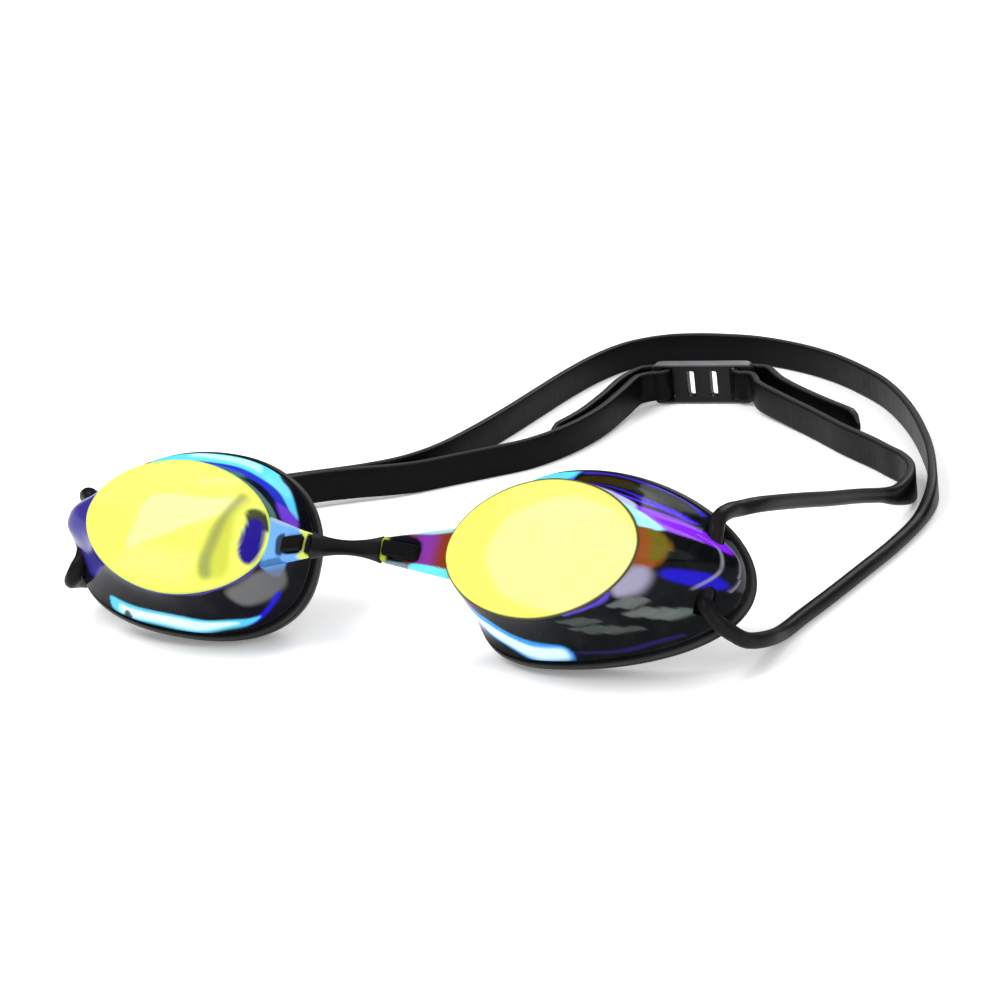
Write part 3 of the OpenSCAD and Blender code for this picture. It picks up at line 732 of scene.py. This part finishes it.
def add_gasket(side_name, material):
    """The soft ring behind the flange, with its sealing lip and a pale line where it is widest."""
    n = GASKET_SIDES
    rows = smooth(GASKET, 4)
    points = np.concatenate([outline(r, full_turn(n)) for r in rows])
    gasket = to_object(side_name + "_gasket_seal", in_cup(points, SIDES[side_name]),
                       rings_to_faces(len(rows), n, True), material)
    depth = np.repeat([r[0] for r in rows], n)
    float_attribute(gasket, "edge", 0.5 * np.exp(-((depth - 12.6) / 0.5) ** 2))
    return gasket


# ---------------------------------------------------------------- nose bridge

BRIDGE_H, BRIDGE_T, BRIDGE_FLARE = 2.8, 2.2, 1.2
BRIDGE_BACK, BRIDGE_SHORT = 0.5, 0.6            # how far the strip is behind the posts and short of them
HOOK_H, HOOK_R, HOOK_BORE, HOOK_MOUTH = 3, 2.4, 1.06, 0.85
HOOK_HEEL = [(-2.2, 1.5), (-1.2, 2.2)]
KNOB_AT, KNOB_R = (5.3, 1.6), 1.65


def on_face(points):
    """From the face's frame, centred between the eyes, to the shared frame."""
    c, s = math.cos(math.radians(FACE_TILT)), math.sin(math.radians(FACE_TILT))
    x, y, z = points.T
    return np.stack([x, y * c + z * s, FACE_HEIGHT - y * s + z * c], 1)


def circle(x, y, radius, count):
    """Points round a circle."""
    return [Vector((x + radius * math.cos(a), y + radius * math.sin(a)))
            for a in np.linspace(0, 2 * math.pi, count)]


def hook_outline():
    """A hook with its knob as seen from above, round the post at the origin and open towards the front."""
    cloud = circle(0, 0, HOOK_R, 61) + circle(*KNOB_AT, KNOB_R, 41) + [Vector(p) for p in HOOK_HEEL]
    outer = sorted((cloud[i] for i in convex_hull_2d(cloud)),
                   key=lambda p: (math.atan2(p.y, p.x) + math.pi / 2) % (2 * math.pi))
    outer = [tuple(p) for p in outer if not (p.x < 0.9 and p.y < 0.2)]
    start = math.asin(HOOK_MOUTH / HOOK_BORE)
    inner = [(HOOK_BORE * math.sin(a), -HOOK_BORE * math.cos(a))
             for a in np.linspace(-1.76, -2 * math.pi + start, 25)]
    return [(HOOK_MOUTH, -2.2)] + outer + inner


def add_bridge(material):
    """The strip between the eyes, wider towards its ends, and a hook at each end."""
    post_x, post_y = turned(POST[0], POST[1], -TOE_IN)
    post_x += EYE_SPACING / 2
    end = post_x - BRIDGE_SHORT
    points = []
    xs = np.linspace(-end, end, 49)
    n = 28
    for x in xs:
        h = BRIDGE_H / 2 + BRIDGE_FLARE * (x / end) ** 2
        t = BRIDGE_T / 2
        for k in range(n):
            a = 2 * math.pi * k / n
            u, v = math.cos(a), math.sin(a)
            points.append((x, post_y + BRIDGE_BACK + t * math.copysign(abs(u) ** 0.55, u),
                           POST_Z + h * math.copysign(abs(v) ** 0.5, v)))
    points = np.array(points)
    strip = to_object("bridge_strip", on_face(points), capped_faces(len(xs), n), material)
    float_attribute(strip, "edge", np.clip((np.abs(points[:, 2] - POST_Z) - 1.1) / 2.4, 0, 0.25))
    pieces = [strip]
    for name, side in SIDES.items():
        hook = sheet_solid(name + "_bridge_hook", hook_outline(), [], HOOK_H, 0.6, material, 5)
        move_points(hook, lambda p: on_face(np.stack([
            side * (post_x + p[:, 0]), post_y + p[:, 1], POST_Z + p[:, 2]], 1)))
        float_attribute(hook, "edge", np.zeros(len(hook.data.vertices)))
        pieces.append(hook)
    return pieces


# ---------------------------------------------------------------- strap

# The routes are in millimetres. A fourth number says how flat the strap is there, from 0 for the round cord
# to 1 for the band. STEPS is how many sections there are between two points of a route.
CORD, BAND_W, BAND_T = 3.1, 7.2, 1.8
STEPS = 6
TIP_LONG = 3.4         # how much of the strap's end is rounded off
TUNNEL_TOP = [(*TUNNEL, z) for z in (6.5, 7, 7.5)]
TUNNEL_FOOT = [(*TUNNEL, z) for z in (-4, -4.5, -5)]
OVER_BROW = {
    "right": TUNNEL_TOP + [(27.9, 14.6, 9.4), (27.9, 15.3, 11.4), (27.9, 18.2, 13.5), (28, 22, 15.2)],
    "left": TUNNEL_TOP + [(29.4, 14.6, 8.5), (31.5, 16.8, 8.9), (32.7, 20.8, 8.5), (32.9, 24.8, 7)],
}
UNDER_CHEEK = {
    "right": TUNNEL_FOOT + [(29.2, 14.6, -6.8), (31.2, 16.2, -8.8), (32.6, 19, -9.7), (33.6, 23, -9.8)],
    "left": TUNNEL_FOOT + [(28.8, 14.6, -7.2), (30.4, 16.4, -9.2), (32.3, 20.2, -8.6), (33.2, 24.2, -7.4)],
}
UPPER_WAY = {
    "right": [(72, 30, 25.4), (72.8, 46, 20.3), (73.5, 60, 15.6), (74, 73, 11.4), (75, 83, 8)],
    "left": [(-76.5, 30, 15.8), (-78, 40, 10.5), (-77.5, 50, 7)],
}
INNER_WAY = {
    "right": [(76, 90, 5.6, 0.3), (76, 98, 4.2, 0.85), (74, 105, 3.8), (70, 111, 3.65), (65, 115.5, 3.65),
              (60, 120, 3.65), (50, 128, 3.65), (40, 137, 3.65), (30, 145, 4), (21, 152, 4.6)],
    "left": [(-75, 60, 4.6, 0.3), (-71, 67, 4.4, 0.85), (-66, 72.5, 4.6), (-61, 76.5, 4.8), (-56, 80, 4.8),
             (-49, 84, 4.6), (-43, 87.5, 4.2), (-38, 91.5, 3.8), (-33, 96.5, 3.65), (-26, 103, 3.65),
             (-19, 110, 3.65), (-14, 120, 3.8), (-11.5, 132, 4), (-11, 144, 4.6)],
}
TAIL_WAY = {
    "right": [(24.5, 156.4, 4.6), (33, 149.8, 4), (42, 143.2, 3.7), (50.5, 137, 3.65)],
    "left": [(-15, 152, 4.7), (-14.7, 141, 4.4), (-15.3, 129, 4), (-17.8, 119, 3.7)],
}
LOWER_WAY = {
    "left": [(-76.2, 16.5, 5.8), (-78.3, 26, 4), (-81, 38, 2.4), (-82.5, 51, 1.6)],
    "right": [(77, 15.5, 4.4), (76.5, 24, 2.2), (77, 33, 1.7), (78.5, 45, 1.6), (80, 58, 1.6),
              (81.5, 72, 1.6), (82, 86, 1.8, 0.05)],
}
OUTER_WAY = [
    (-82, 61, 2.2, 0.08), (-78.5, 69, 3, 0.6), (-72, 75.5, 3.65), (-64, 80.6, 3.65), (-57, 84.6, 3.65),
    (-50, 89, 3.65), (-43.5, 95, 3.65), (-39, 104, 3.65), (-36.5, 117, 3.65), (-35, 131, 3.65),
    (-34, 146, 3.65), (-33, 160, 3.65), (-31, 173, 3.65), (-27, 183, 3.65), (-20, 189, 3.65),
    (-12, 191, 3.65), (-4, 191, 3.65), (4, 190, 3.65), (13, 187, 3.65), (23, 182, 3.65), (33, 175, 3.65),
    (44, 165, 3.65), (51, 157, 3.65), (58, 147, 3.65), (64, 137, 3.65), (69.5, 126.5, 3.65),
    (74, 117, 3.65), (78, 107, 3.4, 0.9), (81, 97, 2.8, 0.5),
]
CLIP_POS, CLIP_TURN = (3, 160, 5), 6
SLOT_PITCH, FOLD_R, FOLD_GAP = 5.6, 1.9, 1.5
FOLD_IN = [(14.9, -6.4), (13.6, -4), (11.9, -2.85)]
FOLD_OUT = [(12, 2.65), (14.2, 2.2), (16.4, 0.6)]
# Where the front cord ends and a rear cord starts: a point's number among those past the cup's own, from 0.
UPPER_SPLIT, LOWER_SPLIT = 1, {"left": 2, "right": 3}


def way(points, flat):
    """A route in the shared frame; flat is for the points that don't give their own."""
    return [(*p[:3], p[3] if len(p) > 3 else flat) for p in points]


def cup_way(points, side):
    """A cord's route in a cup's own frame, carried to the shared frame."""
    return [(*p, 0) for p in in_cup(points, side).tolist()]


def by_clip(p):
    """A point of the band in the clip's own plane, carried to the shared frame."""
    x, y = turned(p[0], p[1], CLIP_TURN)
    return (CLIP_POS[0] + x, CLIP_POS[1] + y, CLIP_POS[2], 1)


def fold(side):
    """The band's route into the clip, round its end bar and out again."""
    bends = []
    for degrees, y in [(a, -FOLD_GAP / 2) for a in np.arange(-90, -181, -22.5)] + [
            (a, FOLD_GAP / 2) for a in np.arange(180, 89, -22.5)]:
        a = math.radians(degrees)
        bends.append((SLOT_PITCH * 1.5 + FOLD_R * (1 + math.cos(a)), y + FOLD_R * math.sin(a)))
    return [by_clip((side * p[0], p[1])) for p in FOLD_IN + bends + FOLD_OUT]


def section(flat, scale=1.0):
    """Ring across the strap: side and height offsets, then how strongly each point takes the painted
    highlight along the band's upper edge.
    """
    steps = 5
    h = (CORD + flat * (BAND_W - CORD)) * scale
    t = (CORD + flat * (BAND_T - CORD)) * min(1, scale ** 0.5 + 0.02)
    r = min(t, h) / 2 * (1 - 0.32 * flat)
    out = []
    for quarter in range(4):
        cx = (t / 2 - r) * (1 if quarter in (0, 3) else -1)
        cz = (h / 2 - r) * (1 if quarter in (0, 1) else -1)
        for k in range(steps + 1):
            a = math.radians(90 * quarter + 90 * k / steps)
            z = cz + r * math.sin(a)
            out.append((cx + r * math.cos(a), z, max(0.0, math.sin(a)) ** 3 * flat))
    return out


def add_strap(name, points, first, last, material, tip=False):
    """Sweeps the strap's section along a smooth route, from point first to point last.

    With tip, the end is rounded off.
    """
    route = smooth(points, STEPS)
    places = np.array(route)[:, :3]
    rows = range(first * STEPS, last * STEPS + 1)
    along = np.concatenate([[0], np.cumsum(np.linalg.norm(np.diff(places, axis=0), axis=1))])
    verts, edge, length, around = [], [], [], []
    for i in rows:
        run = places[min(i + 1, len(places) - 1)] - places[max(i - 1, 0)]
        run /= np.linalg.norm(run)
        across = np.cross(run, (0, 0, 1))
        across /= np.linalg.norm(across)
        rise = np.cross(across, run)
        left = along[rows[-1]] - along[i]
        scale = math.sqrt(max(0.03, 1 - (1 - left / TIP_LONG) ** 2)) if tip and left < TIP_LONG else 1.0
        ring = section(min(max(route[i][3], 0), 1), scale)
        for k, (x, z, e) in enumerate(ring):
            verts.append(places[i] + across * x + rise * z)
            edge.append(e)
            length.append(along[i])
            around.append(abs(k / len(ring) - 0.5))
    piece = to_object(name, verts, capped_faces(len(rows), len(ring)), material, 50)
    float_attribute(piece, "edge", edge)
    float_attribute(piece, "along", length)
    float_attribute(piece, "around", around)
    return piece


def add_straps(cord, band):
    """The strap in 11 lengths; the outer band moves with the outer strap's body and the other ten stay where
    they are laid.
    """
    outer = (cup_way(UNDER_CHEEK["left"], -1) + way(LOWER_WAY["left"], 0) + way(OUTER_WAY, 1)
             + way(LOWER_WAY["right"][::-1], 0) + cup_way(UNDER_CHEEK["right"], 1)[::-1])
    left_end = len(UNDER_CHEEK["left"]) + len(LOWER_WAY["left"])
    right_start = left_end + len(OUTER_WAY)
    piece = add_strap("outer_strap_band", outer, left_end, right_start, band)
    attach(piece, "outer_strap")
    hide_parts("outer_band")
    for name, side in SIDES.items():
        over, under = OVER_BROW[name], UNDER_CHEEK[name]
        inner = (cup_way(over, side) + way(UPPER_WAY[name], 0) + way(INNER_WAY[name], 1)
                 + fold(side) + way(TAIL_WAY[name], 1))
        upper_split = len(over) + UPPER_SPLIT
        lower_list = cup_way(under, side) + way(LOWER_WAY[name], 0)
        lower_split = len(under) + LOWER_SPLIT[name]
        front = cup_way(over, side) + way(UPPER_WAY[name], 0)
        whole = front[::-1] + lower_list
        piece = add_strap(name + "_front_cord", whole, len(front) - 1 - upper_split,
                          len(front) + lower_split, cord)
        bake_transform(piece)
        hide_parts(name + "_tunnel_cord", name + "_upper_cord", name + "_lower_cord")

        upper_end = len(over) + len(UPPER_WAY[name]) - 1
        inner_end = upper_end + len(INNER_WAY[name])
        piece = add_strap(name + "_rear_upper_cord", inner, upper_split, upper_end, cord)
        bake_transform(piece)
        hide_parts(name + "_upper_cord")

        if name == "left":
            a, b = lower_split, left_end
        else:
            a, b = right_start, len(outer) - 1 - lower_split
        piece = add_strap(name + "_rear_lower_cord", outer, a, b, cord)
        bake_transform(piece)
        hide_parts(name + "_lower_cord")

        piece = add_strap(name + "_inner_strap_band", inner, upper_end, inner_end, band)
        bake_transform(piece)
        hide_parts(name + "_inner_band")
        piece = add_strap(name + "_strap_fold", inner, inner_end, len(inner) - 1, band, tip=True)
        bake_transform(piece)
        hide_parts(name + "_strap_end")


# ---------------------------------------------------------------- clip

CLIP_LONG, CLIP_HIGH, CLIP_THICK, CLIP_ROUND = 25, 10, 3, 2.2
END_SLOT, MIDDLE_SLOT, SLOT_ROUND = (1.2, 3.9), (0.9, 3.1), 0.5        # the slots' half sizes


def add_clip(material):
    """The ladder with four slots; the strap's ends go through the two outer ones."""
    plate = rounded(box(0, CLIP_LONG / 2, CLIP_HIGH / 2), CLIP_ROUND)
    holes = [rounded(box(at * SLOT_PITCH, *half), SLOT_ROUND)
             for at, half in ((-1.5, END_SLOT), (-0.5, MIDDLE_SLOT), (0.5, MIDDLE_SLOT), (1.5, END_SLOT))]
    clip = sheet_solid("clip_ladder", plate, holes, CLIP_THICK, 0.4, material, 4)
    float_attribute(clip, "edge", np.clip((np.abs(points_of(clip)[:, 1]) - 4.3) / 0.6, 0, 1))
    c, s = math.cos(math.radians(CLIP_TURN)), math.sin(math.radians(CLIP_TURN))

    def place(q):
        x, y, z = q[:, 0], -q[:, 2], q[:, 1]
        return np.stack([CLIP_POS[0] + x * c - y * s, CLIP_POS[1] + x * s + y * c, CLIP_POS[2] + z], 1)

    move_points(clip, place)
    return clip


# ---------------------------------------------------------------- the scene

FLOOR_HALF, SKY = 3000, 0.62

add_camera()
bpy.context.scene.view_settings.view_transform = "Standard"

mirror = mirror_material("mirror_coat")
gasket_rubber = silicone_material("gasket_silicone", (0.02, 0.02, 0.024), (0.05, 0.05, 0.054), 0.36)
bridge_rubber = silicone_material("bridge_silicone", (0.03, 0.033, 0.03), (0.06, 0.064, 0.058), 0.5)
# The cord is the band's silicone painted paler: painted light, where the round cord catches the lamps from
# above.
lit_cord_rubber = strap_material("cord_silicone_painted_lighter", (0.07, 0.066, 0.068), (0.13, 0.122, 0.126))
band_rubber = strap_material("band_silicone", (0.012, 0.012, 0.014), (0.035, 0.035, 0.038))
nylon = plastic_material("clip_nylon")

for name in SIDES:
    for piece, node in ((add_lens(name, mirror), name + "_lens"), (add_tab(name, mirror), name + "_lens"),
                        (add_gasket(name, gasket_rubber), name + "_gasket")):
        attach(piece, name + "_cup")
        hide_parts(node)
for piece in add_bridge(bridge_rubber):
    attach(piece, "nose_bridge")
    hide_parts("nose_bridge")
add_straps(lit_cord_rubber, band_rubber)
clip = add_clip(nylon)
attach(clip, "clip")
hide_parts("clip")

floor = to_object("floor", [(*corner, 0) for corner in box(0, FLOOR_HALF, FLOOR_HALF)],
                  [[0, 1, 2, 3]], floor_material())
add_light("key", (-0.35, -0.25, 0.75), (0, 0.08, 0), 0.5, 5)
add_light("fill", (0.7, -0.5, 0.5), (0, 0.05, 0.01), 0.6, 2.5)
add_light("rear", (0.1, 0.85, 0.6), (0, 0.1, 0.01), 0.5, 4)
world = bpy.data.worlds.new("studio")
world.use_nodes = True
world.node_tree.nodes["Background"].inputs[0].default_value = (1, 1, 1, 1)
world.node_tree.nodes["Background"].inputs[1].default_value = SKY
bpy.context.scene.world = world
world.cycles_visibility.glossy = False
